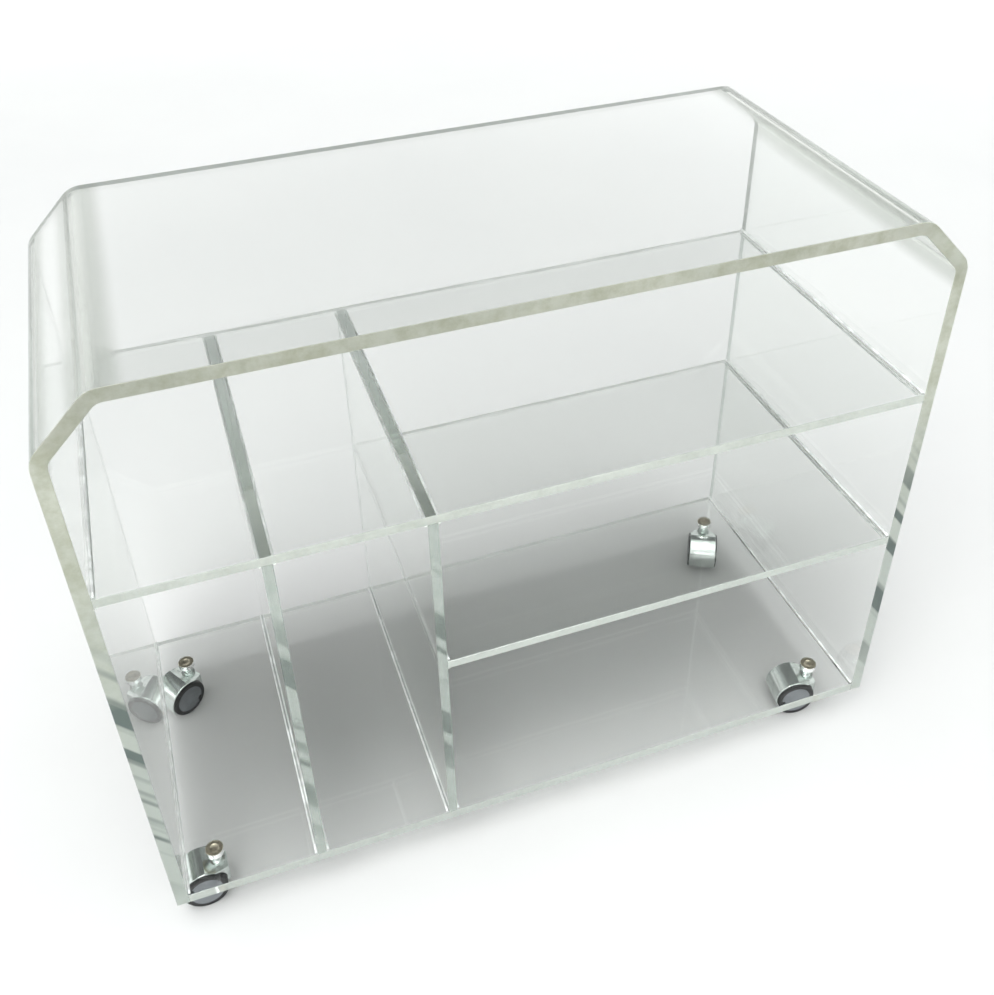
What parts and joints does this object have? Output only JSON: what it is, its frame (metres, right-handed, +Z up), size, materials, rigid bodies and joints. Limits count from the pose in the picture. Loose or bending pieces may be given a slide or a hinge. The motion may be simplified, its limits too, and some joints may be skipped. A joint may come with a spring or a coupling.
{
  "type": "serving cart",
  "caption": "Clear acrylic serving cart: a bent sheet with shoulders forms top and sides around shelves and uprights, on swivelling hooded twin-wheel casters.",
  "frame": {"origin": "floor level under the middle of the cart", "axes": "+X along the width to the right, +Y from the front to the back, +Z up"},
  "size_m": [0.76, 0.335, 0.647],
  "materials": {
    "clear_acrylic": "polished",
    "brass": "satin",
    "chrome": "polished",
    "steel": "satin",
    "black_nylon": "satin",
    "grey_plastic": "satin"
  },
  "bodies": {
    "case": {"arch_sheet": "clear_acrylic", "bottom_plate": "clear_acrylic", "upper_shelf": "clear_acrylic", "lower_shelf": "clear_acrylic", "left_divider": "clear_acrylic", "right_divider": "clear_acrylic", "front_left_socket": "brass", "front_left_stem": "chrome", "front_left_retainer": "steel", "front_right_socket": "brass", "front_right_stem": "chrome", "front_right_retainer": "steel", "back_left_socket": "brass", "back_left_stem": "chrome", "back_left_retainer": "steel", "back_right_socket": "brass", "back_right_stem": "chrome", "back_right_retainer": "steel"},
    "front_left_caster": {"front_left_hood": "chrome", "front_left_axle": "steel", "front_left_clip_a": "steel", "front_left_clip_b": "steel"},
    "front_left_wheel_a": {"front_left_wheel_a": "black_nylon", "front_left_hub_cap_a": "grey_plastic"},
    "front_left_wheel_b": {"front_left_wheel_b": "black_nylon", "front_left_hub_cap_b": "grey_plastic"},
    "front_right_caster": {"front_right_hood": "chrome", "front_right_axle": "steel", "front_right_clip_a": "steel", "front_right_clip_b": "steel"},
    "front_right_wheel_a": {"front_right_wheel_a": "black_nylon", "front_right_hub_cap_a": "grey_plastic"},
    "front_right_wheel_b": {"front_right_wheel_b": "black_nylon", "front_right_hub_cap_b": "grey_plastic"},
    "back_left_caster": {"back_left_hood": "chrome", "back_left_axle": "steel", "back_left_clip_a": "steel", "back_left_clip_b": "steel"},
    "back_left_wheel_a": {"back_left_wheel_a": "black_nylon", "back_left_hub_cap_a": "grey_plastic"},
    "back_left_wheel_b": {"back_left_wheel_b": "black_nylon", "back_left_hub_cap_b": "grey_plastic"},
    "back_right_caster": {"back_right_hood": "chrome", "back_right_axle": "steel", "back_right_clip_a": "steel", "back_right_clip_b": "steel"},
    "back_right_wheel_a": {"back_right_wheel_a": "black_nylon", "back_right_hub_cap_a": "grey_plastic"},
    "back_right_wheel_b": {"back_right_wheel_b": "black_nylon", "back_right_hub_cap_b": "grey_plastic"}
  },
  "joints": [
    {"name": "front_left_swivel", "type": "hinge", "parent": "case", "child": "front_left_caster", "pos_m": [-0.3379, -0.1254, 0.03], "axis": [0, 0, 1], "continuous": true},
    {"name": "front_left_wheel_a_spin", "type": "hinge", "parent": "front_left_caster", "child": "front_left_wheel_a", "pos_m": [-0.35438, -0.12626, 0.0215], "axis": [0.0523, -0.9986, 0], "continuous": true},
    {"name": "front_left_wheel_b_spin", "type": "hinge", "parent": "front_left_caster", "child": "front_left_wheel_b", "pos_m": [-0.35438, -0.12626, 0.0215], "axis": [0.0523, -0.9986, 0], "continuous": true},
    {"name": "front_right_swivel", "type": "hinge", "parent": "case", "child": "front_right_caster", "pos_m": [0.3379, -0.1254, 0.03], "axis": [0, 0, 1], "continuous": true},
    {"name": "front_right_wheel_a_spin", "type": "hinge", "parent": "front_right_caster", "child": "front_right_wheel_a", "pos_m": [0.32165, -0.12254, 0.0215], "axis": [-0.1736, -0.9848, 0], "continuous": true},
    {"name": "front_right_wheel_b_spin", "type": "hinge", "parent": "front_right_caster", "child": "front_right_wheel_b", "pos_m": [0.32165, -0.12254, 0.0215], "axis": [-0.1736, -0.9848, 0], "continuous": true},
    {"name": "back_left_swivel", "type": "hinge", "parent": "case", "child": "back_left_caster", "pos_m": [-0.3379, 0.1254, 0.03], "axis": [0, 0, 1], "continuous": true},
    {"name": "back_left_wheel_a_spin", "type": "hinge", "parent": "back_left_caster", "child": "back_left_wheel_a", "pos_m": [-0.35174, 0.11641, 0.0215], "axis": [0.5446, -0.8387, 0], "continuous": true},
    {"name": "back_left_wheel_b_spin", "type": "hinge", "parent": "back_left_caster", "child": "back_left_wheel_b", "pos_m": [-0.35174, 0.11641, 0.0215], "axis": [0.5446, -0.8387, 0], "continuous": true},
    {"name": "back_right_swivel", "type": "hinge", "parent": "case", "child": "back_right_caster", "pos_m": [0.3379, 0.1254, 0.03], "axis": [0, 0, 1], "continuous": true},
    {"name": "back_right_wheel_a_spin", "type": "hinge", "parent": "back_right_caster", "child": "back_right_wheel_a", "pos_m": [0.33015, 0.11083, 0.0215], "axis": [0.8829, -0.4695, 0], "continuous": true},
    {"name": "back_right_wheel_b_spin", "type": "hinge", "parent": "back_right_caster", "child": "back_right_wheel_b", "pos_m": [0.33015, 0.11083, 0.0215], "axis": [0.8829, -0.4695, 0], "continuous": true}
  ]
}
